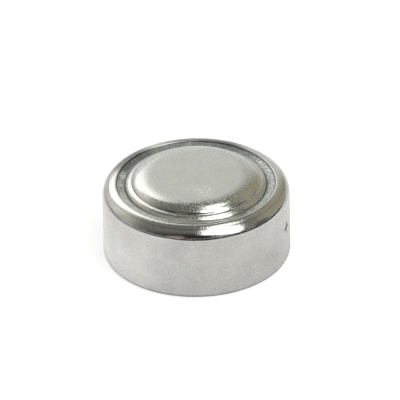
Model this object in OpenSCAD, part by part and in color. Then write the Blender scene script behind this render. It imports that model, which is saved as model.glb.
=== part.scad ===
// Silver oxide button cell: a crimped steel can, a clad cap with a folded rim,
// a nylon gasket between them, and the pressed and wetted layers sealed inside.
// Every piece is turned about Z. The cell stands on its positive face, at z = 0.

/* [Cell] */
// Outside diameter of the can
cell_d = 11.6; // [9:0.1:16]
// Height from the positive face to the flat of the cap
cell_h = 5.4; // [4.4:0.1:8]

/* [Can] */
// Wall thickness of the can
can_t = 0.25; // [0.15:0.01:0.3]
// Inside radius of the can's bottom edge
base_bend_r = 0.05; // [0.02:0.01:0.15]
// Outside radius of the crimped shoulder
shoulder_r = 0.8; // [0.6:0.01:0.85]
// Width of the crimped rim, from the outside of the can to its cut edge
rim_w = 0.88; // [0.7:0.01:1.1]
// Rounding of the rim's cut edge
rim_edge_r = 0.07; // [0.03:0.01:0.1]

/* [Cap] */
// Thickness of the clad cap
cap_t = 0.2; // [0.12:0.01:0.25]
// Height of the cap's flat above the can's rim
cap_proud = 0.52; // [0.3:0.01:0.7]
// Width of the tier below the dome, from its crease to the cap's side
tier_w = 0.4; // [0.38:0.01:0.5]
// Slope of the tier, in degrees
tier_slope = 8; // [4:1:12]
// Outside radius where the tier rounds over into the cap's side
tier_r = 0.33; // [0.25:0.01:0.34]
// Height of the steep step from the crease up to the dome
step_h = 0.13; // [0.1:0.01:0.15]
// Slope of the steep step, in degrees
step_slope = 65; // [55:1:75]
// Height of the dome above the step
dome_h = 0.31; // [0.2:0.01:0.4]
// Slope of the dome's edge where it meets the step, in degrees
dome_slope = 38; // [25:1:50]
// Radius of the dome's edge
dome_r = 1.38; // [0.6:0.02:1.7]
// Radius in the bottom of the crease
crease_r = 0.05; // [0.02:0.01:0.08]
// Inside radius of the cap's pressed bends
bend_r = 0.05; // [0.03:0.01:0.1]
// Outside radius where the cap's side meets its hidden shoulder
side_fillet_r = 0.15; // [0.08:0.01:0.18]
// Inside radius of the cap's hidden shoulder
cap_shoulder_r = 0.1; // [0.05:0.01:0.15]
// Slit between the cap's skirt and its folded-back rim
fold_slit = 0.08; // [0.07:0.01:0.1]
// Inside radius of the folded rim
fold_r = 0.03; // [0.01:0.01:0.035]
// Distance from the cap's hidden shoulder down to the end of the folded rim
fold_end_drop = 0.4; // [0.35:0.01:0.6]

/* [Gasket] */
// Thickness of the gasket between the can and the folded rim
gasket_t = 0.26; // [0.2:0.01:0.35]
// Width of the gasket ring that shows between the rim and the cap
ring_w = 0.52; // [0.35:0.01:0.65]
// Depth of the gasket below the rim's top, at the cap
ring_drop = 0.18; // [0.1:0.01:0.2]
// Depth of the gasket below the rim's top, at the rim
ring_edge_drop = 0.06; // [0.05:0.01:0.1]
// Rounding of the gasket ring's edge at the rim
ring_edge_r = 0.04; // [0.02:0.01:0.05]
// Thickness of the gasket squeezed under the crimped rim
squeeze_t = 0.3; // [0.22:0.01:0.36]
// Thickness of the gasket's foot
foot_t = 0.3; // [0.2:0.01:0.4]
// Thickness of the gasket's inner lip
lip_t = 0.25; // [0.15:0.01:0.3]
// Height of the gasket's inner lip above its foot
lip_h = 0.6; // [0.3:0.05:0.8]

/* [Layers] */
// Height of the pressed silver oxide pellet
pellet_h = 1.7; // [1.2:0.05:2.05]
// Wall thickness of the sleeve round the pellet's rim
sleeve_t = 0.15; // [0.1:0.01:0.2]
// Height of the sleeve
sleeve_h = 0.95; // [0.6:0.05:1.1]
// Inside radius of the sleeve's bend
sleeve_bend_r = 0.05; // [0.02:0.01:0.08]
// Width of the sleeve's flange under the gasket
sleeve_flange_w = 0.58; // [0.4:0.01:0.8]
// Thickness of the barrier disc
barrier_t = 0.1; // [0.05:0.01:0.15]
// Clearance round the edge of the barrier disc
barrier_gap = 0.05; // [0.03:0.01:0.1]
// Thickness of the wetted absorbent disc
absorbent_t = 0.3; // [0.2:0.01:0.4]
// Clearance left at every fitted round face, as thick as the sealant film there
fit_gap = 0.02; // [0.01:0.01:0.03]

/* [Hidden] */
$fn = 96;
arc_steps = 8;

// Radii, from the outside inwards
can_r = cell_d/2;
can_inner_r = can_r - can_t;
rim_r = can_r - rim_w;
fold_outer_r = can_inner_r - gasket_t - 2*fit_gap;
skirt_r = fold_outer_r - cap_t - fold_slit;
skirt_inner_r = skirt_r - cap_t;
side_r = rim_r - ring_w;
crease_edge_r = side_r - tier_w;
dome_edge_r = crease_edge_r - step_h/tan(step_slope);
gasket_r = can_inner_r - fit_gap;
lip_outer_r = skirt_inner_r - fit_gap;
lip_inner_r = lip_outer_r - lip_t;
sleeve_r = can_inner_r - fit_gap;
flange_inner_r = sleeve_r - sleeve_flange_w;

// Heights, from the positive face upwards
pellet_top = can_t + pellet_h;
barrier_top = pellet_top + barrier_t;
absorbent_top = barrier_top + absorbent_t;
foot_top = barrier_top + foot_t;
lip_top = foot_top + lip_h;
rim_top = cell_h - cap_proud;
rim_under = rim_top - can_t;
cap_shoulder_z = rim_under - squeeze_t;
fold_end_z = cap_shoulder_z - fold_end_drop;
dome_edge_z = cell_h - dome_h;
crease_z = dome_edge_z - step_h;
side_top = crease_z - tier_w*tan(tier_slope);

// A corner is [radius from Z, height, rounding]. The cap's outer face runs from the end
// of the folded rim, down round the fold, up the skirt and side, and over to the axis.
fold_z = foot_top + fit_gap + cap_t;
cap_face = [
    [skirt_r + fold_slit, fold_end_z, 0],
    [skirt_r + fold_slit, fold_z, fold_r],
    [skirt_r, fold_z, fold_r],
    [skirt_r, cap_shoulder_z, cap_shoulder_r + cap_t],
    [side_r, cap_shoulder_z, side_fillet_r],
    [side_r, side_top, tier_r],
    [crease_edge_r, crease_z, crease_r],
    [dome_edge_r, dome_edge_z, bend_r + cap_t],
    [dome_edge_r - dome_h/tan(dome_slope), cell_h, dome_r],
    [0, cell_h, 0]
];

// Flat point of a corner, unit direction between two corners, and a direction's left side
function at(c) = [c.x, c.y];
function way(a, b) = let (d = at(b) - at(a)) d/norm(d);
function left(u) = [-u.y, u.x];
function reversed(p) = [for (i = [len(p) - 1:-1:0]) p[i]];

// Neighbours of a corner on a closed outline
function before(p, i) = p[(i + len(p) - 1) % len(p)];
function after(p, i) = p[(i + 1) % len(p)];

// Angle that an outline turns through at a corner, positive to the left
function turn(p, i) =
    let (u = way(before(p, i), p[i]), w = way(p[i], after(p, i)))
    atan2(cross(u, w), u*w);

// Length of straight side that the rounding of a corner takes up
function leg(p, i) = p[i].z*tan(abs(turn(p, i))/2);

// Part of its rounding that a corner keeps, so that no two roundings meet on one side
function kept(p, i) =
    let (
        n = len(p),
        back = leg(p, (i + n - 1) % n) + leg(p, i),
        ahead = leg(p, i) + leg(p, (i + 1) % n)
    )
    min(1, 0.98*norm(at(p[i]) - at(before(p, i)))/back,
        0.98*norm(at(after(p, i)) - at(p[i]))/ahead);

// Points of one rounded corner: an arc that is tangent to both of its sides
function corner_arc(p, i) =
    let (
        r = p[i].z*kept(p, i),
        a = turn(p, i),
        side = sign(a),
        u = way(before(p, i), p[i]),
        start = at(p[i]) - u*r*tan(abs(a)/2),
        centre = start + left(u)*r*side,
        from = atan2(-left(u).y*side, -left(u).x*side)
    )
    [for (k = [0:arc_steps]) centre + r*[cos(from + a*k/arc_steps), sin(from + a*k/arc_steps)]];

// Closed outline with its corners rounded
function rounded(p) = [
    for (i = [0:len(p) - 1])
        each p[i].z == 0 ? [at(p[i])] : corner_arc(p, i)
];

// Open run of corners moved d to its left, with each rounding kept concentric
function inset(p, d) = [
    for (i = [0:len(p) - 1])
        let (
            last = len(p) - 1,
            u = i == 0 ? way(p[0], p[1]) : way(p[i - 1], p[i]),
            w = i == last ? u : way(p[i], p[i + 1]),
            shift = d*(left(u) + left(w))/(1 + u*w),
            rounding = p[i].z == 0 ? 0 : p[i].z - d*sign(cross(u, w))
        )
        [p[i].x + shift.x, p[i].y + shift.y, rounding]
];

module turned(outline) {
    rotate_extrude()
        polygon(rounded(outline));
}

// Steel cup: flat base, straight wall, and a rim crimped in over the gasket
module cathode_can() {
    color([0.78, 0.78, 0.77])
        turned([
            [0, 0, 0],
            [can_r, 0, base_bend_r + can_t],
            [can_r, rim_top, shoulder_r],
            [rim_r, rim_top, rim_edge_r],
            [rim_r, rim_under, rim_edge_r],
            [can_inner_r, rim_under, shoulder_r - can_t],
            [can_inner_r, can_t, base_bend_r],
            [0, can_t, 0]
        ]);
}

// Clad cup: domed top, crease and tier, hidden shoulder, skirt and folded-back rim
module anode_cap() {
    color([0.82, 0.82, 0.8])
        turned(concat(cap_face, reversed(inset(cap_face, cap_t))));
}

// Nylon seal: a wall against the can, a foot under the fold, an inner lip, and the
// squeezed top that fills the channel between the rim and the cap
module sealing_gasket() {
    over_cap = inset(cap_face, -fit_gap);
    groove_r = fold_r + cap_t + fit_gap;
    color([0.55, 0.6, 0.57])
        turned([
            [lip_inner_r, barrier_top, 0],
            [gasket_r, barrier_top, 0],
            [gasket_r, rim_under - fit_gap, shoulder_r - can_t - fit_gap],
            [rim_r - fit_gap, rim_under - fit_gap, rim_edge_r + fit_gap],
            [rim_r - fit_gap, rim_top - ring_edge_drop, ring_edge_r],
            [side_r + fit_gap, rim_top - ring_drop, 0],
            over_cap[4],
            over_cap[3],
            [skirt_r + fit_gap, fold_end_z + fit_gap, 0],
            [fold_outer_r + fit_gap, fold_end_z + fit_gap, 0],
            [fold_outer_r + fit_gap, foot_top, groove_r],
            [lip_outer_r, foot_top, groove_r],
            [lip_outer_r, lip_top, 0],
            [lip_inner_r, lip_top, 0]
        ]);
}

// Silver oxide pressed into the can, with a rebate round its rim for the sleeve
module cathode_pellet() {
    rebate_r = sleeve_r - sleeve_t - fit_gap;
    rebate_z = pellet_top - sleeve_h;
    color([0.2, 0.2, 0.2])
        turned([
            [0, can_t, 0],
            [sleeve_r, can_t, base_bend_r + fit_gap],
            [sleeve_r, rebate_z, 0],
            [rebate_r, rebate_z, 0],
            [rebate_r, pellet_top - sleeve_t, sleeve_bend_r + fit_gap],
            [flange_inner_r - fit_gap, pellet_top - sleeve_t, 0],
            [flange_inner_r - fit_gap, pellet_top, 0],
            [0, pellet_top, 0]
        ]);
}

// Steel ring of L section that backs the gasket's foot and stiffens the pellet's rim
module cathode_sleeve() {
    color([0.7, 0.7, 0.72])
        turned([
            [sleeve_r - sleeve_t, pellet_top - sleeve_h, 0],
            [sleeve_r, pellet_top - sleeve_h, 0],
            [sleeve_r, pellet_top, sleeve_bend_r + sleeve_t],
            [flange_inner_r, pellet_top, 0],
            [flange_inner_r, pellet_top - sleeve_t, 0],
            [sleeve_r - sleeve_t, pellet_top - sleeve_t, sleeve_bend_r]
        ]);
}

// Laminated barrier film, held at its edge between the sleeve and the gasket's foot
module barrier_disc() {
    color([0.85, 0.83, 0.75])
        translate([0, 0, pellet_top])
            cylinder(r = can_inner_r - barrier_gap, h = barrier_t);
}

// Felt disc inside the gasket's foot that holds the electrolyte
module absorbent_disc() {
    color([0.94, 0.94, 0.92])
        translate([0, 0, barrier_top])
            cylinder(r = lip_inner_r - fit_gap, h = absorbent_t);
}

// Zinc gel that fills the cap from the absorbent disc up to the inside of the dome
module anode_gel() {
    inside = inset(cap_face, cap_t + fit_gap);
    color([0.45, 0.46, 0.48])
        turned(concat(
            [
                [0, absorbent_top, 0],
                [lip_inner_r - fit_gap, absorbent_top, 0],
                [lip_inner_r - fit_gap, lip_top + fit_gap, 0],
                [inside[3].x, lip_top + fit_gap, 0]
            ],
            [for (i = [3:len(inside) - 1]) inside[i]]
        ));
}

cathode_can();
anode_cap();
sealing_gasket();
cathode_pellet();
cathode_sleeve();
barrier_disc();
absorbent_disc();
anode_gel();
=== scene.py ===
"""Looks of a silver oxide button cell: the can, the cap and the gasket as finely turned
surfaces in place of their solids, the finishes of every layer, and the studio they stand in."""

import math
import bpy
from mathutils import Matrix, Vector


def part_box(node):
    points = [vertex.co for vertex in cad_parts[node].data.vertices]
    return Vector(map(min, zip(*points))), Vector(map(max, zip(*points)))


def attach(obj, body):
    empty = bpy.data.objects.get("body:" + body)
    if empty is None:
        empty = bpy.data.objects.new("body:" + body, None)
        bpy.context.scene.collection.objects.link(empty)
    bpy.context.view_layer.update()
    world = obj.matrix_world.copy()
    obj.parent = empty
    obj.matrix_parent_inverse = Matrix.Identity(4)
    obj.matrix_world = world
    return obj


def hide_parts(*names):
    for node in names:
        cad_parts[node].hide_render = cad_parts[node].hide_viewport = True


bl_info = {
    "name": "Silver Oxide Button Cell",
    "version": (1, 0, 0),
    "blender": (4, 5, 0),
    "location": "3D View > Sidebar > Button Cell",
    "description": "Turns the visible pieces of a button cell and gives every layer its finish",
    "category": "Add Mesh",
}

from functools import reduce

import bpy
import numpy as np
from bpy.props import FloatProperty, FloatVectorProperty, IntProperty, PointerProperty
from mathutils import Matrix, Vector

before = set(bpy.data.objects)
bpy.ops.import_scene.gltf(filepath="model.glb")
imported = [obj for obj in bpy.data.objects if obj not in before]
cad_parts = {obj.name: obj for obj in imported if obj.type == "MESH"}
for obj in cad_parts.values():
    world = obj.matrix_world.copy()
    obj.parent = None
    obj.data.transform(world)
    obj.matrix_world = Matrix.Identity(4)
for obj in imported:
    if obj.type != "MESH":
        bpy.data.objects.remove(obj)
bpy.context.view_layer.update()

MM = 0.001
CAN_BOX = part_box("cathode_can")
CAP_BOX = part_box("anode_cap")
CELL_D = 2 * round(CAN_BOX[1].x, 5)
CELL_H = round(CAP_BOX[1].z, 5)
RIM_TOP = round(CAN_BOX[1].z, 5)


# ---------------------------------------------------------------- settings


def length(name, description, millimetres):
    """A length property, given in millimetres and kept in metres."""
    return FloatProperty(
        name=name,
        description=description,
        default=millimetres * MM,
        min=0.0,
        unit="LENGTH",
        precision=6,
    )


def angle(name, description, degrees, low=0, high=89):
    """An angle property, given in degrees and kept in radians."""
    return FloatProperty(
        name=name,
        description=description,
        default=math.radians(degrees),
        min=math.radians(low),
        max=math.radians(high),
        subtype="ANGLE",
    )


def colour(name, description, value):
    """A colour property with linear components."""
    return FloatVectorProperty(
        name=name,
        description=description,
        default=value,
        subtype="COLOR",
        size=3,
        min=0.0,
        max=1.0,
    )


def share(name, description, value):
    """A plain number from nought to one."""
    return FloatProperty(
        name=name, description=description, default=value, min=0.0, max=1.0, precision=3
    )


class CellSizes(bpy.types.PropertyGroup):
    """Sizes of the turned pieces, the same as those of the solids they stand for, apart from
    the crown that eases the cap's flat into its dome."""

    diameter: length("Diameter", "Outside diameter of the can", CELL_D / MM)
    height: length("Height", "From the positive face to the flat of the cap", CELL_H / MM)
    rim_height: length("Rim Height", "From the positive face to the top of the can's rim", RIM_TOP / MM)
    can_wall: length("Can Wall", "Thickness of the can", 0.25)
    base_bend: length("Base Bend", "Inside radius of the can's bottom edge", 0.05)
    shoulder: length("Shoulder", "Outside radius of the crimped shoulder", 0.8)
    rim: length("Rim", "Width of the crimped rim", 0.88)
    rim_edge: length("Rim Edge", "Rounding of the rim's cut edge", 0.07)
    cap_wall: length("Cap Wall", "Thickness of the clad cap", 0.2)
    tier: length("Tier", "Width of the tier below the dome", 0.4)
    tier_edge: length("Tier Edge", "Radius where the tier rounds over into the cap's side", 0.33)
    step: length("Step", "Height of the steep step from the crease up to the dome", 0.13)
    dome: length("Dome", "Height of the dome above the step", 0.31)
    dome_edge: length("Dome Edge", "Radius of the dome's edge", 1.1)
    crown: length("Crown", "Radius that eases the flat into the dome's edge", 3.2)
    crease: length("Crease", "Radius in the bottom of the crease", 0.05)
    cap_bend: length("Cap Bend", "Inside radius of the cap's pressed bends", 0.05)
    side_fillet: length("Side Fillet", "Radius where the cap's side meets its hidden shoulder", 0.15)
    cap_shoulder: length("Cap Shoulder", "Inside radius of the cap's hidden shoulder", 0.1)
    fold_slit: length("Fold Slit", "Slit between the cap's skirt and its folded rim", 0.08)
    fold_bend: length("Fold Bend", "Inside radius of the folded rim", 0.03)
    fold_end: length("Fold End", "From the hidden shoulder down to the end of the folded rim", 0.4)
    ring: length("Gasket Ring", "Width of the gasket that shows between the rim and the cap", 0.52)
    ring_drop: length("Ring Drop", "Depth of the gasket below the rim's top, at the cap", 0.18)
    ring_edge_drop: length("Ring Edge Drop", "Depth of the gasket below the rim's top, at the rim", 0.06)
    ring_edge: length("Ring Edge", "Rounding of the gasket ring's edge at the rim", 0.04)
    gasket_wall: length("Gasket Wall", "Thickness of the gasket between the can and the fold", 0.26)
    gasket_top: length("Gasket Top", "Thickness of the gasket squeezed under the rim", 0.3)
    gasket_foot: length("Gasket Foot", "Thickness of the gasket's foot", 0.3)
    gasket_lip: length("Gasket Lip", "Thickness of the gasket's inner lip", 0.25)
    gasket_lip_height: length("Gasket Lip Height", "Height of the inner lip above the foot", 0.6)
    barrier_top: length("Barrier Top", "Height of the barrier disc's upper face", 2.05)
    gap: length("Fitted Gap", "Clearance at every fitted round face", 0.02)
    mark_size: length("Mark Size", "Size of the plus printed on the wall", 0.8)
    mark_stroke: length("Mark Stroke", "Stroke of the plus printed on the wall", 0.17)
    mark_height: length("Mark Height", "Height of the plus printed on the wall", 2.55)
    base_mark_size: length("Base Mark Size", "Size of the plus etched on the positive face", 3.6)
    base_mark_stroke: length("Base Mark Stroke", "Stroke of the plus etched on the positive face", 0.4)
    mark_angle: angle("Mark Angle", "Angle of the printed plus, from the cell's right", -17, -80, 80)
    tier_slope: angle("Tier Slope", "Slope of the tier", 8)
    step_slope: angle("Step Slope", "Slope of the steep step", 65)
    crown_slope: angle("Crown Slope", "Slope that the flat eases down to before the dome's edge", 13)
    dome_slope: angle("Dome Slope", "Slope of the dome's edge where it meets the step", 38)
    turns: IntProperty(
        name="Divisions",
        description="Divisions of each turned piece round its axis",
        default=376,
        min=48,
        max=376,
    )


class CellFinishes(bpy.types.PropertyGroup):
    """Colours and polish of the pieces."""

    can_colour: colour("Can", "Nickel plate of the can", (0.63, 0.625, 0.605))
    cap_colour: colour("Cap", "Nickel face of the clad cap", (0.625, 0.632, 0.603))
    gasket_colour: colour("Gasket", "Nylon of the gasket under its sealant", (0.20, 0.235, 0.22))
    wall_roughness: share("Wall Roughness", "Satin of the can's wall", 0.26)
    shoulder_roughness: share("Shoulder Roughness", "Polish of the crimped shoulder", 0.05)
    flat_roughness: share("Flat Roughness", "Frosting of the cap's flat", 0.38)
    dome_roughness: share("Dome Roughness", "Satin of the dome's edge and the tier", 0.13)
    gasket_roughness: share("Gasket Roughness", "Gloss of the gasket's squeezed ring", 0.3)
    # Sealant colour; on the ring its paleness in front is partly painted light.
    film_tint: colour("Sealant", "Film of sealant in front and at the right", (0.36, 0.37, 0.33))
    # Colour of the painted glints on the gasket's ring.
    ring_glint_colour: colour("Flecks", "Pale flecks in the gasket's sealant", (0.58, 0.64, 0.63))
    mark_colour: colour("Mark", "Ink of the plus on the wall", (0.09, 0.09, 0.09))
    silver_oxide_colour: colour("Silver Oxide", "Pressed cathode powder", (0.028, 0.026, 0.025))
    zinc_colour: colour("Zinc Gel", "Zinc powder in its gel", (0.23, 0.24, 0.26))
    film_colour: colour("Barrier Film", "Laminated barrier film", (0.72, 0.66, 0.50))
    felt_colour: colour("Absorbent", "Wetted felt of the absorbent disc", (0.80, 0.80, 0.76))


class StudioLight(bpy.types.PropertyGroup):
    """The floor, the camera and the soft light round the cell."""

    camera_height: angle("Camera Height", "Angle of the camera above the horizon", 31.7)
    camera_roll: angle("Camera Roll", "Turn of the camera about its own line of sight", 0.93)
    camera_distance: length("Camera Distance", "From the cell to the camera", 667.0)
    view_width: length("View Width", "Width of the camera's view at the cell", 24.7678)
    aim_side: length("Aim Side", "How far right of the axis the camera looks", 0.235)
    aim_height: length("Aim Height", "Height at which the camera looks", 3.57)
    floor_width: length("Floor Width", "Width of the floor", 8000.0)
    floor_colour: colour("Floor", "Matt white card of the floor", (0.38, 0.38, 0.38))
    floor_glow: share("Floor Glow", "White added to the floor as the eye sees it", 0.78)
    metal_glow: share("Metal Glow", "White added to the floor as metal and glass see it", 0.60)
    card: length("Card", "From the axis to the edge of the white card that the metal mirrors", 18.5)
    card_edge: length("Card Edge", "Width over which the card gives way to the table", 5.0)
    table_grey: share("Table Grey", "Brightness of the table past the card, right and front", 0.12)
    table_left: share("Table Left", "Brightness of the table past the card, left", 0.40)


# ---------------------------------------------------------------- shapes


def unit(v):
    """Each vector divided by its own length."""
    return v / np.linalg.norm(v, axis=-1, keepdims=True)


def rounded(corners, steps=14):
    """Outline with rounded corners, as points (r, z), from corners (r, z, radius).

    A corner of half angle h and radius q is cut back by q / tan(h) along both of its sides,
    less where two roundings would meet on one side. Its arc is centred q / sin(h) along the
    bisector, and turns evenly from one tangent point to the other."""
    p = np.array([c[:2] for c in corners], float)
    radius = np.array([c[2] for c in corners], float)
    back, ahead = np.roll(p, 1, 0) - p, np.roll(p, -1, 0) - p
    back_len, ahead_len = np.linalg.norm(back, axis=1), np.linalg.norm(ahead, axis=1)
    u, w = unit(back), unit(ahead)
    half = np.arccos(np.clip((u * w).sum(1), -1, 1)) / 2
    cut = radius / np.tan(half)
    with np.errstate(divide="ignore"):
        kept = np.minimum.reduce([
            np.ones(len(p)),
            0.98 * back_len / (np.roll(cut, 1) + cut),
            0.98 * ahead_len / (cut + np.roll(cut, -1)),
        ])
    radius, cut = radius * kept, cut * kept
    centre = p + unit(u + w + 1e-12) * (radius / np.sin(half))[:, None]
    first, last = p + u * cut[:, None] - centre, p + w * cut[:, None] - centre
    sweep = np.pi - 2 * half
    t = np.linspace(0, 1, steps + 1)[None, :, None]
    s = np.maximum(sweep, 1e-9)[:, None, None]
    arc = (np.sin((1 - t) * s) * first[:, None] + np.sin(t * s) * last[:, None]) / np.sin(s)
    points = np.where(radius[:, None, None] > 0, centre[:, None] + arc, p[:, None])
    return points.reshape(-1, 2)


def steadied(points, closed, inset=0.012 * MM):
    """The outline with a further point just inside each end of its straight sides, so that
    shading stays flat along them and curves only round the arcs. Doubled points go."""
    gap = np.linalg.norm(points - np.roll(points, 1, 0), axis=1)
    points = points[gap > 1e-7]
    ahead = np.roll(points, -1, 0) - points
    run = np.linalg.norm(ahead, axis=1, keepdims=True)
    d = ahead / run
    long = (run > 5 * inset)[:, 0]
    if not closed:
        long[-1] = False
    near, far = points + d * inset, points + d * (run - inset)
    stack = np.stack([points, near, far], 1)
    keep = np.stack([np.ones(len(points), bool), long, long], 1)
    return stack[keep]


def moved_left(corners, d):
    """An open run of corners moved d to its left along mitred corners, each rounding kept
    concentric: the radius shrinks by d where the run turns left and grows where it turns right."""
    c = np.array(corners, float)
    way = unit(np.diff(c[:, :2], axis=0))
    u, w = np.vstack([way[:1], way]), np.vstack([way, way[-1:]])
    left_u, left_w = np.stack([-u[:, 1], u[:, 0]], 1), np.stack([-w[:, 1], w[:, 0]], 1)
    shift = d * (left_u + left_w) / (1 + (u * w).sum(1))[:, None]
    turn = np.sign(u[:, 0] * w[:, 1] - u[:, 1] * w[:, 0])
    radius = np.where(c[:, 2] == 0, 0, c[:, 2] - d * turn)
    return np.column_stack([c[:, :2] + shift, radius]).tolist()


def smooth_outline(corners, steps, closed=False):
    """Outline with each corner rounded in so many steps, and with steady straight sides."""
    return steadied(rounded(corners, steps), closed)


def turned(name, outline, divisions):
    """A solid of revolution about Z from an outline (r, z) in metres.

    Point (i, k) of the grid is (r_k cos a_i, r_k sin a_i, z_k), with a_i a full turn in even
    steps. An outline that starts and ends on the axis closes there in one vertex each; any
    other is joined end to end."""
    r, z = outline[:, 0], outline[:, 1]
    on_axis = r < 1e-9
    n = len(r)
    a = np.arange(divisions) * 2 * np.pi / divisions
    across, deep = np.outer(np.cos(a), r), np.outer(np.sin(a), r)
    grid = np.stack([across, deep, np.tile(z, (divisions, 1))], -1)
    index = np.arange(divisions)[:, None] * n + np.arange(n)[None, :]
    index[:, on_axis] = index[0, on_axis]
    ends = np.arange(n) if not on_axis.any() else np.arange(n - 1)
    here, there = index[:, ends], index[:, (ends + 1) % n]
    quads = np.stack([here, np.roll(here, -1, 0), np.roll(there, -1, 0), there], -1).reshape(-1, 4)
    # A quad with a side on the axis has two corners in one, and becomes a triangle.
    first_tips, last_tips = quads[:, 0] == quads[:, 1], quads[:, 2] == quads[:, 3]
    fans = np.concatenate([quads[first_tips][:, [0, 2, 3]], quads[last_tips][:, [0, 1, 2]]])
    quads = quads[~(first_tips | last_tips)]
    used, loops = np.unique(np.concatenate([quads.ravel(), fans.ravel()]), return_inverse=True)
    sizes = np.concatenate([np.full(len(quads), 4), np.full(len(fans), 3)])
    starts = np.concatenate([[0], np.cumsum(sizes)[:-1]])
    mesh = bpy.data.meshes.new(name)
    mesh.vertices.add(len(used))
    mesh.vertices.foreach_set("co", grid.reshape(-1, 3)[used].ravel())
    mesh.loops.add(len(loops))
    mesh.loops.foreach_set("vertex_index", loops.astype(np.int32))
    mesh.polygons.add(len(sizes))
    mesh.polygons.foreach_set("loop_start", starts.astype(np.int32))
    mesh.polygons.foreach_set("use_smooth", np.ones(len(sizes), bool))
    mesh.update(calc_edges=True)
    mesh.validate()
    mesh.set_sharp_from_angle(angle=math.radians(35))
    piece = bpy.data.objects.new(name, mesh)
    bpy.context.scene.collection.objects.link(piece)
    return piece


# ---------------------------------------------------------------- profiles


def rim_radius(s):
    """Radius of the rim's cut edge."""
    return s.diameter / 2 - s.rim


def side_radius(s):
    """Radius of the cap's side, where the gasket's ring ends."""
    return rim_radius(s) - s.ring


def cap_face(s):
    """Corners of the cap's outer face by name, from the end of its folded rim to the axis: down
    the slit inside the fold, up the skirt, in over the hidden shoulder, up the side, across the
    tier, up the step and over the dome. The crown's slope is as long as the tangents of the two
    arcs that it joins."""
    can_inner = s.diameter / 2 - s.can_wall
    skirt = can_inner - s.gasket_wall - 2 * s.gap - s.cap_wall - s.fold_slit
    side = side_radius(s)
    crease = side - s.tier
    step_top = crease - s.step / math.tan(s.step_slope)
    slit_z = s.barrier_top + s.gasket_foot + s.gap + s.cap_wall
    shoulder_z = s.rim_height - s.can_wall - s.gasket_top
    step_top_z = s.height - s.dome
    crease_z = step_top_z - s.step
    side_top_z = crease_z - s.tier * math.tan(s.tier_slope)
    crown_run = s.crown * math.tan(s.crown_slope / 2)
    crown_run += s.dome_edge * math.tan((s.dome_slope - s.crown_slope) / 2)
    brow_z = s.height - crown_run * math.sin(s.crown_slope)
    brow = step_top - (brow_z - step_top_z) / math.tan(s.dome_slope)
    return {
        "fold_end": (skirt + s.fold_slit, shoulder_z - s.fold_end, 0),
        "slit_outer": (skirt + s.fold_slit, slit_z, s.fold_bend),
        "slit_inner": (skirt, slit_z, s.fold_bend),
        "hidden_shoulder": (skirt, shoulder_z, s.cap_shoulder + s.cap_wall),
        "side_foot": (side, shoulder_z, s.side_fillet),
        "side_top": (side, side_top_z, s.tier_edge),
        "crease": (crease, crease_z, s.crease),
        "step_top": (step_top, step_top_z, s.cap_bend + s.cap_wall),
        "brow": (brow, brow_z, s.dome_edge),
        "crown": (brow - crown_run * math.cos(s.crown_slope), s.height, s.crown),
        "centre": (0, s.height, 0),
    }


def can_profile(s):
    """Cup with a flat base, a straight wall and a rim crimped in over the gasket."""
    r, inner, rim = s.diameter / 2, s.diameter / 2 - s.can_wall, rim_radius(s)
    under = s.rim_height - s.can_wall
    return [
        (0, 0, 0),
        (r, 0, s.base_bend + s.can_wall),
        (r, s.rim_height, s.shoulder),
        (rim, s.rim_height, s.rim_edge),
        (rim, under, s.rim_edge),
        (inner, under, s.shoulder - s.can_wall),
        (inner, s.can_wall, s.base_bend),
        (0, s.can_wall, 0),
    ]


def cap_profile(s):
    """Clad cup of even thickness: its inner face from the axis out, then its outer face back."""
    face = list(cap_face(s).values())
    return moved_left(face, s.cap_wall)[::-1] + face


def gasket_profile(s):
    """Seal with a wall against the can, a foot under the fold, an inner lip, and the squeezed
    top that fills the channel between the rim and the cap."""
    face = cap_face(s)
    clear = dict(zip(face, moved_left(list(face.values()), -s.gap)))
    skirt, fold_end = face["slit_inner"][0] + s.gap, face["fold_end"][1] + s.gap
    fold_outer = face["slit_outer"][0] + s.cap_wall + s.gap
    lip_outer = face["slit_inner"][0] - s.cap_wall - s.gap
    wall = s.diameter / 2 - s.can_wall - s.gap
    under = s.rim_height - s.can_wall - s.gap
    rim, side = rim_radius(s) - s.gap, side_radius(s) + s.gap
    foot_top = s.barrier_top + s.gasket_foot
    groove = s.fold_bend + s.cap_wall + s.gap
    return [
        (lip_outer - s.gasket_lip, s.barrier_top, 0),
        (wall, s.barrier_top, 0),
        (wall, under, s.shoulder - s.can_wall - s.gap),
        (rim, under, s.rim_edge + s.gap),
        (rim, s.rim_height - s.ring_edge_drop, s.ring_edge),
        (side, s.rim_height - s.ring_drop, 0),
        clear["side_foot"],
        clear["hidden_shoulder"],
        (skirt, fold_end, 0),
        (fold_outer, fold_end, 0),
        (fold_outer, foot_top, groove),
        (lip_outer, foot_top, groove),
        (lip_outer, foot_top + s.gasket_lip_height, 0),
        (lip_outer - s.gasket_lip, foot_top + s.gasket_lip_height, 0),
    ]


# ---------------------------------------------------------------- finishes

# Soft round patches of sealant, painted shade and painted glints, seen from straight above, in
# millimetres: how far right and back of the axis, the radius at which the patch has gone, and
# the radius within which it is full.
PATCHES = {
    "left_rim_shade": (-4.3, 3.0, 2.3, 0.9),
    "back_rim_shade": (0.7, 5.1, 3.2, 1.5),
    "flat_glints": (0.45, -1.9, 0.8, 0.3),
    "thick_film": (-2.8, -3.8, 2.8, 0.6),
    "right_ring_glints": (4.3, 1.2, 3.0, 0.8),
    "front_ring_glints": (4.1, -2.0, 1.8, 0.6),
    "left_ring_glints": (-4.35, 1.1, 0.6, 0.2),
    "left_shade_patch": (-3.7, 3.0, 2.6, 0.6),
    "back_shade_patch": (2.6, 3.9, 2.1, 0.7),
    "front_gap_shade": (0.2, -4.8, 3.2, 1.0),
}


def rgba(value, times=1.0):
    """A colour property as four components, its light multiplied."""
    return (*(component * times for component in value), 1.0)


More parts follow.
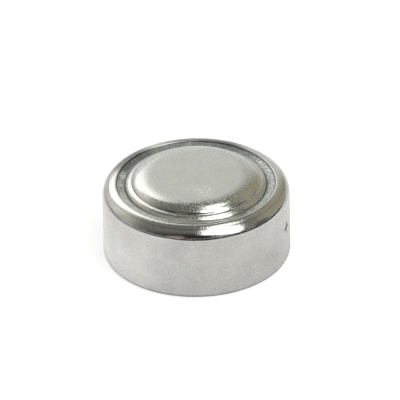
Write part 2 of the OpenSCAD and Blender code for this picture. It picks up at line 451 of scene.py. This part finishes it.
class Net:
    """Adds nodes to one tree and joins them up."""

    def __init__(self, tree):
        self.tree = tree
        tree.nodes.clear()

    def add(self, kind, inputs=None, **settings):
        """A node with its settings, its inputs either linked from a socket or set to a value."""
        node = self.tree.nodes.new(kind)
        for key, value in settings.items():
            setattr(node, key, value)
        for key, value in (inputs or {}).items():
            if isinstance(value, bpy.types.NodeSocket):
                self.tree.links.new(value, node.inputs[key])
            else:
                node.inputs[key].default_value = value
        return node

    def join(self, value, node, socket):
        """Links a value to one of a node's inputs."""
        self.tree.links.new(value, node.inputs[socket])

    def math(self, operation, *values):
        """The result of an operation on up to three values."""
        return self.add("ShaderNodeMath", dict(enumerate(values)), operation=operation).outputs[0]

    def times(self, *values):
        """The product of its values."""
        return reduce(lambda a, b: self.math("MULTIPLY", a, b), values)

    def most(self, *values):
        """The largest of its values."""
        return reduce(lambda a, b: self.math("MAXIMUM", a, b), values)

    def plus(self, a, b):
        """The sum of two values."""
        return self.math("ADD", a, b)

    def minus(self, a, b):
        """The first value with the second taken away."""
        return self.math("SUBTRACT", a, b)

    def vector(self, operation, *values):
        """The vector that an operation on one or two vectors gives."""
        node = self.add("ShaderNodeVectorMath", dict(enumerate(values)), operation=operation)
        return node.outputs["Vector"]

    def measure(self, operation, *values):
        """The number that an operation on one or two vectors gives."""
        node = self.add("ShaderNodeVectorMath", dict(enumerate(values)), operation=operation)
        return node.outputs["Value"]

    def scaled(self, vector, times):
        """A vector multiplied by a number."""
        node = self.add("ShaderNodeVectorMath", {0: vector, "Scale": times}, operation="SCALE")
        return node.outputs["Vector"]

    def step(self, value, low, high, start=0.0, end=1.0):
        """A smooth step from start to end as the value goes from low to high."""
        return self.add(
            "ShaderNodeMapRange",
            {"Value": value, "From Min": low, "From Max": high, "To Min": start, "To Max": end},
            interpolation_type="SMOOTHSTEP",
        ).outputs["Result"]

    def between(self, factor, a, b):
        """A number between a and b."""
        return self.add("ShaderNodeMix", {"Factor": factor, "A": a, "B": b}).outputs["Result"]

    def blend(self, factor, a, b):
        """A colour between a and b."""
        return self.add(
            "ShaderNodeMix", {"Factor": factor, "A": a, "B": b}, data_type="RGBA"
        ).outputs["Result"]

    def noise(self, vector, scale, detail=2.0, roughness=0.5):
        """Even noise about one half."""
        return self.add(
            "ShaderNodeTexNoise",
            {"Vector": vector, "Scale": scale, "Detail": detail, "Roughness": roughness},
        ).outputs["Fac"]

    def around(self, o):
        """A place about the axis, the same at every radius, drawn out along the outline."""
        x, y = self.math("COSINE", o["angle"]), self.math("SINE", o["angle"])
        along = self.times(self.minus(o["r"], o["z"]), 40.0)
        return self.add("ShaderNodeCombineXYZ", {"X": x, "Y": y, "Z": along}).outputs[0]

    def patch(self, o, name):
        """One inside the full radius of a named patch, falling to nought at its outer radius."""
        x, y, gone, full = (size * MM for size in PATCHES[name])
        off = self.vector("ADD", o["at"], (-x, -y, 0))
        return self.step(self.measure("LENGTH", self.vector("MULTIPLY", off, (1, 1, 0))), gone, full)

    def bump(self, shader, height, distance, strength, under=None):
        """Raises the shading of the shader's surface by a height field."""
        inputs = {"Height": height, "Distance": distance, "Strength": strength}
        if under is not None:
            inputs["Normal"] = under
        raised = self.add("ShaderNodeBump", inputs).outputs[0]
        self.join(raised, shader, "Normal")
        return raised


def finish_material(name):
    """A new material with one Principled shader: its net, the shader and the object's own
    coordinates as a vector and as distance from the axis, height and angle about the axis."""
    material = bpy.data.materials.new(name)
    material.use_nodes = True
    net = Net(material.node_tree)
    shader = net.add("ShaderNodeBsdfPrincipled")
    net.join(shader.outputs[0], net.add("ShaderNodeOutputMaterial"), "Surface")
    place = net.add("ShaderNodeTexCoord").outputs["Object"]
    xyz = net.add("ShaderNodeSeparateXYZ", {0: place})
    x, y, z = (xyz.outputs[i] for i in range(3))
    flat = net.add("ShaderNodeCombineXYZ", {"X": x, "Y": y}).outputs[0]
    r, angle = net.measure("LENGTH", flat), net.math("ARCTAN2", y, x)
    return material, net, shader, {"at": place, "x": x, "y": y, "z": z, "r": r, "angle": angle}


def plus_mark(net, across, up, size, stroke):
    """One inside a plus sign of a size and a stroke, nought outside it, on two coordinates that
    run from its centre: the larger of two crossing bars, each the product of two soft edges."""
    u, v = net.math("ABSOLUTE", across), net.math("ABSOLUTE", up)
    soft = 0.02 * MM

    def within(value, half):
        return net.step(value, half + soft, half - soft)

    level = net.times(within(u, size / 2), within(v, stroke / 2))
    upright = net.times(within(v, size / 2), within(u, stroke / 2))
    return net.most(level, upright)


def can_marks(net, o, s):
    """The plus in ink on the wall at the right, and the plus etched on the positive face."""
    round_wall = net.times(net.minus(o["angle"], s.mark_angle), s.diameter / 2)
    ink = plus_mark(net, round_wall, net.minus(o["z"], s.mark_height), s.mark_size, s.mark_stroke)
    ink = net.times(ink, net.step(o["x"], 0.0, 1.0 * MM))
    etched = plus_mark(net, o["x"], o["y"], s.base_mark_size, s.base_mark_stroke)
    return ink, net.times(etched, net.step(o["z"], 0.05 * MM, 0.01 * MM))


def can_finish(s, f):
    """Nickel plate: a clouded satin wall, a bright shoulder with fine draw lines across it and a
    dark line of painted shade round it where the crimping die scored it, a small plus in ink on
    the wall and an etched one on the positive face. The rim is darkened by painted shade at the
    left and the back, and dull at its edge."""
    material, net, shader, o = finish_material("can_steel")
    rim, bend = rim_radius(s), s.rim_height - s.shoulder
    above = net.step(o["z"], bend - 0.02 * MM, bend + 0.10 * MM)
    cloud = net.noise(o["at"], 700.0, 3.0, 0.55)
    grain = net.noise(o["at"], 12000.0, 2.0, 0.6)
    draw = net.noise(net.around(o), 55.0, 4.0, 0.6)
    ink, etched = can_marks(net, o, s)

    # Painted shade: a thin dark line round the shoulder where the die scored it, in the colour alone.
    score_r = s.diameter / 2 - 0.37 * MM
    from_score = net.math("ABSOLUTE", net.minus(o["r"], score_r))
    score_shade = net.times(net.step(from_score, 0.04 * MM, 0.015 * MM), above)
    score_shade = net.times(score_shade, net.step(draw, 0.3, 0.6, 0.15, 0.5))
    # Painted shade: the rim's lip darkened at the left and the back.
    rim_shade = net.most(net.patch(o, "left_rim_shade"), net.times(net.patch(o, "back_rim_shade"), 0.85))
    rim_shade = net.times(rim_shade, net.step(o["r"], rim + 0.60 * MM, rim + 0.30 * MM), above)

    tone = net.plus(net.times(cloud, 0.35), net.times(grain, 0.65))
    metal = net.blend(net.step(tone, 0.36, 0.64), rgba(f.can_colour, 0.80), rgba(f.can_colour))
    metal = net.blend(ink, metal, rgba(f.mark_colour))
    metal = net.blend(etched, metal, rgba(f.can_colour, 0.45))
    # Painted shade laid into the colour: the rim at the left and the back, and the die's scored line.
    metal = net.blend(rim_shade, metal, rgba(f.can_colour, 0.35))
    metal = net.blend(score_shade, metal, rgba(f.can_colour, 0.3))
    net.join(metal, shader, "Base Color")
    net.join(net.minus(1.0, ink), shader, "Metallic")

    satin = net.step(grain, 0.3, 0.7, f.wall_roughness - 0.05, f.wall_roughness + 0.05)
    bright = net.step(draw, 0.3, 0.75, f.shoulder_roughness - 0.02, f.shoulder_roughness + 0.06)
    cut_edge = net.times(net.step(o["r"], rim + 0.16 * MM, rim + 0.04 * MM), above)
    dull_edge = net.times(cut_edge, net.step(o["y"], -1.0 * MM, 1.5 * MM), 0.3)
    rough = net.plus(net.between(above, satin, bright), net.times(net.most(ink, etched), 0.2))
    net.join(net.plus(rough, dull_edge), shader, "Roughness")

    under = net.bump(shader, net.times(draw, above), 0.010 * MM, 0.5)
    under = net.bump(shader, grain, 0.005 * MM, 0.7, under)
    net.bump(shader, net.minus(1.0, etched), 0.02 * MM, 0.8, under)
    return material


def cap_finish(s, f):
    """Nickel face: blasted all over, so that reflections break up into fine grain, frosted on
    the flat and brighter on the dome's edge, the crease and the tier. The flat is smudged and
    has painted glints in front, specks of lighter colour. Sealant dulls the tier's edge in front."""
    material, net, shader, o = finish_material("cap_steel")
    flat_r, side = cap_face(s)["crown"][0] - 0.03 * MM, side_radius(s)
    frost = net.step(o["r"], flat_r + 0.45 * MM, flat_r - 0.15 * MM)
    cloud = net.noise(o["at"], 1100.0, 3.0)
    grain = net.noise(o["at"], 10000.0, 2.0, 0.6)
    smudge = net.step(net.noise(o["at"], 430.0, 2.0), 0.40, 0.62, 0.0, 0.18)
    # Painted glints: specks of lighter colour on the flat in front.
    flat_glints = net.step(net.noise(o["at"], 6500.0, 2.0, 0.6), 0.54, 0.60, 0.0, 0.7)
    flat_glints = net.times(flat_glints, net.patch(o, "flat_glints"))
    wetted = net.times(
        net.step(o["r"], side - 0.16 * MM, side - 0.04 * MM),
        net.step(o["y"], -0.5 * MM, -2.5 * MM),
        net.step(o["x"], 0.8 * MM, -0.4 * MM, 0.0, 0.7),
    )

    tone = net.plus(net.times(cloud, 0.15), net.times(grain, 0.85))
    metal = net.blend(net.step(tone, 0.36, 0.64), rgba(f.cap_colour, 0.78), rgba(f.cap_colour, 1.03))
    metal = net.blend(smudge, metal, rgba(f.cap_colour, 0.7))
    metal = net.blend(flat_glints, metal, rgba(f.cap_colour, 1.4))
    net.join(net.blend(wetted, metal, rgba(f.film_tint, 1.2)), shader, "Base Color")
    net.join(net.minus(1.0, wetted), shader, "Metallic")

    frosted = net.step(grain, 0.3, 0.7, f.flat_roughness - 0.06, f.flat_roughness + 0.06)
    satin = net.step(grain, 0.42, 0.66, f.dome_roughness - 0.03, f.dome_roughness + 0.14)
    net.join(net.between(frost, satin, frosted), shader, "Roughness")
    height = net.times(grain, net.step(frost, 0.0, 1.0, 0.45, 1.0))
    net.bump(shader, height, 0.015 * MM, 0.8)
    return material


def sealant_tint(net, o, s, f, film, cloud, fine):
    """Colour of the gasket's ring: grey-green where it is bare, mottled and pale under the
    film, whose paleness in front is partly painted light, paler where the film is thick,
    with painted glints and patches of painted shade."""
    side = side_radius(s)
    deep = net.blend(net.step(cloud, 0.35, 0.65), rgba(f.gasket_colour, 0.6), rgba(f.gasket_colour))
    mottle = net.step(net.plus(net.times(cloud, 0.5), net.times(fine, 0.5)), 0.40, 0.60)
    tint = net.blend(film, deep, net.blend(mottle, rgba(f.film_tint, 0.5), rgba(f.film_tint, 1.2)))
    tint = net.blend(net.times(net.patch(o, "thick_film"), 0.6), tint, rgba(f.film_tint, 1.6))

    # Painted glints: pale specks at the right, the front right and the left, where the glossy sealant
    # catches light.
    ring_glint_spread = net.most(
        net.times(net.patch(o, "right_ring_glints"), 0.10),
        net.times(net.patch(o, "front_ring_glints"), 0.11),
        net.times(net.patch(o, "left_ring_glints"), 0.16),
    )
    ring_glints = net.step(net.plus(fine, ring_glint_spread), 0.60, 0.68)
    tint = net.blend(ring_glints, tint, rgba(f.ring_glint_colour))

    # Painted shade: the ring darkened beside the cap at the right and the left.
    right_cap_shade = net.times(
        net.step(o["r"], side + 0.32 * MM, side), net.step(o["x"], 0.0, 2.5 * MM)
    )
    left_cap_shade = net.times(
        net.step(o["r"], side + 0.13 * MM, side + 0.05 * MM), net.step(o["x"], -1.2 * MM, -3.0 * MM)
    )
    # Painted shade in patches at the back of the ring.
    shade_patches = net.most(net.patch(o, "left_shade_patch"), net.patch(o, "back_shade_patch"))
    dark = net.most(right_cap_shade, left_cap_shade, shade_patches)
    return net.blend(net.times(dark, 0.7), tint, rgba(f.gasket_colour, 0.2))


def gasket_finish(s, f):
    """Squeezed nylon under an uneven film of sealant, grey-green and glossy. The film is pale
    and mottled in front, partly sealant and partly painted light on the front of the ring, and
    bears painted glints at the right, the front right and the left. The ring is darkened by
    painted shade in patches at the back, beside the cap at the right and the left, and in the
    gap beside the rim in front."""
    material, net, shader, o = finish_material("gasket_nylon")
    rim, side = rim_radius(s), side_radius(s)
    cloud = net.noise(o["at"], 1800.0, 4.0, 0.6)
    fine = net.noise(o["at"], 7500.0, 3.0, 0.65)
    # The film grows toward the front; its paleness there is partly sealant and partly painted light,
    # leaving the back in shade.
    toward = net.measure("DOT_PRODUCT", o["at"], (0.1, -1, 0))
    film = net.step(toward, -2.8 * MM, 1.6 * MM)
    # Painted shade: a dark band by the rim in front stands for the shade in the gap, and takes away the
    # ring's gloss there.
    line = net.step(o["r"], rim - 0.25 * MM, rim - 0.15 * MM)
    line = net.times(line, net.patch(o, "front_gap_shade"))
    tint = sealant_tint(net, o, s, f, film, cloud, fine)
    net.join(net.blend(line, tint, rgba(f.gasket_colour, 0.15)), shader, "Base Color")

    rough = net.step(fine, 0.3, 0.7, f.gasket_roughness - 0.08, f.gasket_roughness + 0.12)
    net.join(rough, shader, "Roughness")
    shader.inputs["IOR"].default_value = 1.53
    open_ring = net.minus(1.0, line)
    net.join(net.times(open_ring, 0.8), shader, "Specular IOR Level")
    net.join(net.times(open_ring, net.step(film, 0.3, 1.0, 1.0, 0.45)), shader, "Coat Weight")
    net.join(net.step(film, 0.3, 1.0, 0.12, 0.3), shader, "Coat Roughness")
    shader.inputs["Coat IOR"].default_value = 1.6

    meniscus = net.most(
        net.step(o["r"], side + 0.14 * MM, side), net.step(o["r"], rim - 0.14 * MM, rim)
    )
    under = net.bump(shader, cloud, 0.06 * MM, 0.7)
    under = net.bump(shader, meniscus, 0.04 * MM, 0.6, under)
    under = net.bump(shader, fine, 0.02 * MM, 0.8, under)
    net.join(under, shader, "Coat Normal")
    return material


def layer_finish(name, tint, scale, roughness, depth, metallic):
    """Pressed or wetted stuff of a hidden layer: grain in its colour, gloss and surface."""
    material, net, shader, o = finish_material(name)
    shader.inputs["Metallic"].default_value = metallic
    grain = net.noise(o["at"], scale, 3.0, 0.6)
    net.join(net.blend(net.step(grain, 0.3, 0.7), rgba(tint, 0.6), rgba(tint)), shader, "Base Color")
    net.join(net.step(grain, 0.3, 0.7, roughness - 0.1, roughness + 0.1), shader, "Roughness")
    net.bump(shader, grain, depth * MM, 0.7)
    return material


# ---------------------------------------------------------------- studio

# Soft panels round the cell, as a plan seen from straight above it: a corner is (degrees to the
# right, degrees to the back) from straight up, so that 90 degrees is the horizon. Each panel has
# its corners, the degrees over which its edge fades, and its linear light, and covers those
# before it.
PANELS = {
    "left_wall": (
        ((-130, -24), (-60, -14), (-22, 22), (-12, 40), (-40, 70), (-130, 70)),
        46,
        (0.66, 0.63, 0.53),
    ),
    "right_wall": (
        ((20, -20), (112, -25), (112, 72), (60, 84), (8, 66)),
        20,
        (0.44, 0.42, 0.31),
    ),
    "back_wall": (
        ((-130, 48), (-60, 42), (0, 46), (18, 58), (60, 92), (70, 150), (-130, 150)),
        22,
        (0.82, 0.82, 0.80),
    ),
    "right_sweep": (
        ((60, 88), (90, 66), (130, 44), (130, 150), (60, 150)),
        24,
        (0.80, 0.80, 0.76),
    ),
    "back_sweep": (
        ((-130, 92), (-60, 78), (0, 72), (60, 100), (60, 150), (-130, 150)),
        22,
        (0.95, 0.95, 0.93),
    ),
    "front_dark": (
        ((-130, -130), (130, -130), (130, -66), (10, -36), (-45, -38), (-130, -48)),
        36,
        (0.075, 0.07, 0.06),
    ),
    "front_left_gap": (
        ((-22, -130), (24, -130), (24, -50), (-22, -50)),
        18,
        (0.045, 0.04, 0.035),
    ),
    "front_right": (
        ((24, -66), (80, -60), (100, -72), (60, -86), (24, -82)),
        10,
        (0.36, 0.35, 0.33),
    ),
    "right_flag": (
        ((54, -20), (74, -60), (112, -60), (112, 20), (86, 10)),
        16,
        (0.12, 0.12, 0.11),
    ),
    "right_dark": (
        ((60, -24), (76, -16), (108, -20), (108, -54), (86, -60), (70, -44)),
        9,
        (0.03, 0.03, 0.026),
    ),
    "key_frame": (
        ((12, 34), (20, 30), (90, -32), (90, -46), (64, -36), (24, 2)),
        9,
        (0.28, 0.28, 0.25),
    ),
    "left_glow": (
        ((-14, 52), (-82, 44), (-82, 20), (-42, 18), (-22, 32)),
        24,
        (1.0, 0.985, 0.93),
    ),
    "left_strip": (
        ((-2, 62), (-30, 68), (-46, 51), (-37, 39), (-14, 34.5), (-5, 42)),
        10,
        (1.9, 1.9, 1.85),
    ),
    "key_box": (
        ((5.5, -5.5), (20, 2.5), (60.5, -40), (65.5, -50), (60, -57), (40, -61), (20, -58), (6.5, -54)),
        5,
        (3.4, 3.4, 3.3),
    ),
    "key_far": (
        ((5.5, 33), (11, 27), (23, 9.8), (5.5, 0)),
        4,
        (3.0, 3.0, 2.9),
    ),
    "warm_card": (
        ((-50, -92), (-22, -92), (-20, -64), (-42, -62)),
        8,
        (0.42, 0.30, 0.255),
    ),
}
OPEN_ROOM = (0.205, 0.205, 0.19)
SWEEP_BELOW = (1.0, 1.0, 0.985)
HORIZON = 88.5


def panel_mask(net, plan, corners, fade):
    """One inside a panel and nought outside it: the product, over its sides, of a smooth step
    of the distance inside that side. The corners may run either way round."""
    p = np.array(corners, float)
    ahead = np.roll(p, -1, 0)
    if (p[:, 0] * ahead[:, 1] - p[:, 1] * ahead[:, 0]).sum() < 0:
        p = p[::-1]
    side = unit(np.roll(p, -1, 0) - p)
    inward = np.stack([-side[:, 1], side[:, 0]], 1)
    offsets = (inward * p).sum(1)
    mask = 1.0
    for (right, back), offset in zip(inward.tolist(), offsets.tolist()):
        inside = net.measure("DOT_PRODUCT", plan, (right, back, 0))
        mask = net.times(mask, net.step(inside, offset - fade / 2, offset + fade / 2))
    return mask


def studio_world():
    """World light made of soft panels by direction.

    A direction becomes a point on the plan: its angle from straight up, in degrees, along its
    own heading. Below the horizon everything is the white sweep of the floor."""
    world = bpy.data.worlds.new("studio")
    bpy.context.scene.world = world
    world.use_nodes = True
    net = Net(world.node_tree)
    way = net.add("ShaderNodeTexCoord").outputs["Generated"]
    way = net.vector("NORMALIZE", way)
    up = net.add("ShaderNodeSeparateXYZ", {0: way}).outputs["Z"]
    heading = net.vector("NORMALIZE", net.vector("MULTIPLY", way, (1, 1, 0)))
    fall = net.math("DEGREES", net.math("ARCCOSINE", up))
    plan = net.scaled(heading, fall)
    light = (*OPEN_ROOM, 1.0)
    for corners, fade, shine in PANELS.values():
        light = net.blend(panel_mask(net, plan, corners, fade), light, (*shine, 1.0))
    below = net.step(fall, HORIZON - 1.5, HORIZON + 1.0)
    light = net.blend(below, light, (*SWEEP_BELOW, 1.0))
    background = net.add("ShaderNodeBackground", {"Color": light, "Strength": 1.0})
    net.join(background.outputs[0], net.add("ShaderNodeOutputWorld"), "Surface")


def white_kept(net, light, x, y):
    """How much of the floor's white the metal mirrors: all of it on the card, and past the
    card's edge only the grey of the table, paler at the left and darker in front as painted
    light and shade. The card ends in front and at the sides, and is wider behind the cell than
    before it."""
    behind = net.times(net.most(y, 0.0), 0.8)
    before = net.times(net.most(net.minus(-4.0 * MM, y), 0.0), 0.45)
    aside = net.math("ABSOLUTE", net.minus(x, 1.9 * MM))
    aside = net.minus(net.plus(aside, before), behind)
    outwards = net.most(aside, net.times(y, -1.0))
    past = net.step(outwards, light.card, light.card + light.card_edge)
    table = net.times(
        net.step(x, -30 * MM, -6 * MM, light.table_left, light.table_grey),
        net.step(y, -28 * MM, -4 * MM, 0.28, 1.0),
        net.step(x, 8 * MM, 25 * MM, 1.5, 0.4),
    )
    return net.between(past, 1.0, table)


def card_shine(net, x, y, reach):
    """How brightly the card shines in the metal: full in the open, far less right under the
    cell as a painted shadow, brighter at the left and dimmer at both back corners as painted
    light and shade. Away from the cell it grows at the right and fades at the left, also
    painted light."""
    wide = net.math("ABSOLUTE", x)
    left = net.times(net.step(x, -1 * MM, -9 * MM), net.step(wide, 22 * MM, 12 * MM))
    back = net.times(net.step(wide, 8 * MM, 18 * MM), net.step(y, 0.0, 10 * MM))
    lean = net.step(x, -5 * MM, -1 * MM, -0.12, 0.13)
    lean = net.times(lean, net.step(reach, 6 * MM, 11 * MM, -1.0, 1.0))
    return net.times(
        net.step(left, 0.0, 1.0, 1.0, 1.42),
        net.step(back, 0.0, 1.0, 1.0, 0.68),
        net.plus(1.0, lean),
        # Painted shadow: the card's shine drops right under the cell.
        net.step(reach, 5.5 * MM, 6.3 * MM, 0.25, 1.0),
    )


def floor_finish(light):
    """White card: matt, with white added where the eye, metal or glass looks at it, so that it
    is white in the open and keeps the cell's shadow. The eye sees it even all over. The metal
    also mirrors where the card ends and the darker table past it. From below the floor is
    clear."""
    material = bpy.data.materials.new("floor_card")
    material.use_nodes = True
    net = Net(material.node_tree)
    place = net.add("ShaderNodeTexCoord").outputs["Object"]
    xyz = net.add("ShaderNodeSeparateXYZ", {0: place})
    x, y = xyz.outputs["X"], xyz.outputs["Y"]
    path = net.add("ShaderNodeLightPath")
    eye = path.outputs["Is Camera Ray"]
    mirror = net.most(path.outputs["Is Glossy Ray"], path.outputs["Is Transmission Ray"])
    kept = net.most(white_kept(net, light, x, y), eye)
    shine = net.times(card_shine(net, x, y, net.measure("LENGTH", place)), kept)
    glow = net.times(mirror, light.metal_glow, shine)
    glow = net.plus(glow, net.times(eye, light.floor_glow))
    fibre = net.noise(place, 400.0, 3.0)
    shade = net.times(kept, net.step(fibre, 0.3, 0.7, 0.98, 1.0))
    card = net.add("ShaderNodeBsdfDiffuse", {"Color": net.scaled(tuple(light.floor_colour), shade)})
    white = net.add("ShaderNodeEmission", {"Color": (1, 1, 1, 1), "Strength": glow})
    both = net.add("ShaderNodeAddShader", {0: card.outputs[0], 1: white.outputs[0]})
    clear = net.add("ShaderNodeBsdfTransparent")
    under = net.add("ShaderNodeNewGeometry").outputs["Backfacing"]
    sides = net.add("ShaderNodeMixShader", {0: under, 1: both.outputs[0], 2: clear.outputs[0]})
    net.join(sides.outputs[0], net.add("ShaderNodeOutputMaterial"), "Surface")
    return material


# ---------------------------------------------------------------- operators


def dress(node, material):
    """Gives a CAD node its finish."""
    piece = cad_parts[node]
    piece.data.materials.clear()
    piece.data.materials.append(material)


class CELL_OT_can(bpy.types.Operator):
    """Turn the crimped steel can."""

    bl_idname = "cell.can"
    bl_label = "Can"

    def execute(self, context):
        s, f = context.scene.cell_sizes, context.scene.cell_finishes
        piece = turned("can", smooth_outline(can_profile(s), 24), s.turns)
        piece.data.materials.append(can_finish(s, f))
        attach(piece, "root")
        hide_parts("cathode_can")
        return {"FINISHED"}


class CELL_OT_cap(bpy.types.Operator):
    """Turn the domed and stepped cap with its folded rim."""

    bl_idname = "cell.cap"
    bl_label = "Cap"

    def execute(self, context):
        s, f = context.scene.cell_sizes, context.scene.cell_finishes
        piece = turned("cap", smooth_outline(cap_profile(s), 12), s.turns)
        piece.data.materials.append(cap_finish(s, f))
        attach(piece, "root")
        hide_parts("anode_cap")
        return {"FINISHED"}


class CELL_OT_gasket(bpy.types.Operator):
    """Turn the nylon gasket that shows between the rim and the cap."""

    bl_idname = "cell.gasket"
    bl_label = "Gasket"

    def execute(self, context):
        s, f = context.scene.cell_sizes, context.scene.cell_finishes
        piece = turned("gasket", smooth_outline(gasket_profile(s), 12, closed=True), s.turns)
        piece.data.materials.append(gasket_finish(s, f))
        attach(piece, "root")
        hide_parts("sealing_gasket")
        return {"FINISHED"}


# Hidden layers: CAD node, material, its colour, scale of its grain, roughness, depth of the
# grain in millimetres, and how metallic it is.
LAYERS = (
    ("cathode_pellet", "silver_oxide", "silver_oxide_colour", 9000.0, 0.75, 0.01, 0.0),
    ("cathode_sleeve", "sleeve_steel", "can_colour", 4000.0, 0.32, 0.001, 1.0),
    ("barrier_disc", "barrier_film", "film_colour", 1500.0, 0.35, 0.002, 0.0),
    ("absorbent_disc", "absorbent_felt", "felt_colour", 6000.0, 0.8, 0.03, 0.0),
    ("anode_gel", "zinc_gel", "zinc_colour", 8000.0, 0.3, 0.02, 0.4),
)


class CELL_OT_layers(bpy.types.Operator):
    """Finish the pressed and wetted layers sealed inside the can."""

    bl_idname = "cell.layers"
    bl_label = "Inner Layers"

    def execute(self, context):
        f = context.scene.cell_finishes
        for node, name, tint, scale, roughness, depth, metallic in LAYERS:
            dress(node, layer_finish(name, getattr(f, tint), scale, roughness, depth, metallic))
        return {"FINISHED"}


class CELL_OT_studio(bpy.types.Operator):
    """Set the floor, the soft light and the camera."""

    bl_idname = "cell.studio"
    bl_label = "Studio"

    def execute(self, context):
        scene, light = context.scene, context.scene.cell_studio
        half = light.floor_width / 2
        just_below = -0.004 * MM
        corners = [(half * x, half * y, just_below) for x, y in ((-1, -1), (1, -1), (1, 1), (-1, 1))]
        mesh = bpy.data.meshes.new("floor")
        mesh.from_pydata(corners, [], [(0, 1, 2, 3)])
        floor = bpy.data.objects.new("floor", mesh)
        mesh.materials.append(floor_finish(light))
        scene.collection.objects.link(floor)
        studio_world()

        camera = bpy.data.objects.new("camera", bpy.data.cameras.new("camera"))
        scene.collection.objects.link(camera)
        camera.data.sensor_width = 36.0
        camera.data.lens = camera.data.sensor_width * light.camera_distance / light.view_width
        camera.data.clip_start, camera.data.clip_end = 0.01, 20.0
        tilt = light.camera_height
        back = Vector((0.0, -math.cos(tilt), math.sin(tilt)))
        turn = (-back).to_track_quat("-Z", "Y").to_matrix().to_4x4()
        aim = Vector((light.aim_side, 0.0, light.aim_height))
        camera.matrix_world = (
            Matrix.Translation(aim + back * light.camera_distance)
            @ turn
            @ Matrix.Rotation(-light.camera_roll, 4, "Z")
        )
        scene.camera = camera
        scene.view_settings.view_transform = "Standard"
        return {"FINISHED"}


class CELL_PT_panel(bpy.types.Panel):
    """The cell's sizes, finishes and pieces."""

    bl_idname = "CELL_PT_panel"
    bl_label = "Button Cell"
    bl_space_type = "VIEW_3D"
    bl_region_type = "UI"
    bl_category = "Button Cell"

    def draw(self, context):
        scene = context.scene
        for group in (scene.cell_sizes, scene.cell_finishes, scene.cell_studio):
            box = self.layout.box()
            for key in group.bl_rna.properties.keys():
                if key not in ("rna_type", "name"):
                    box.prop(group, key)
        for operator in OPERATORS:
            self.layout.operator(operator.bl_idname)


GROUPS = {"cell_sizes": CellSizes, "cell_finishes": CellFinishes, "cell_studio": StudioLight}
OPERATORS = (CELL_OT_can, CELL_OT_cap, CELL_OT_gasket, CELL_OT_layers, CELL_OT_studio)


def register():
    for cls in (*GROUPS.values(), *OPERATORS, CELL_PT_panel):
        bpy.utils.register_class(cls)
    for name, cls in GROUPS.items():
        setattr(bpy.types.Scene, name, PointerProperty(type=cls))


def unregister():
    for name in GROUPS:
        delattr(bpy.types.Scene, name)
    for cls in (CELL_PT_panel, *reversed(OPERATORS), *reversed(list(GROUPS.values()))):
        bpy.utils.unregister_class(cls)


def main():
    """Builds every piece and the studio."""
    register()
    bpy.ops.cell.can()
    bpy.ops.cell.cap()
    bpy.ops.cell.gasket()
    bpy.ops.cell.layers()
    bpy.ops.cell.studio()


if __name__ == "__main__":
    main()
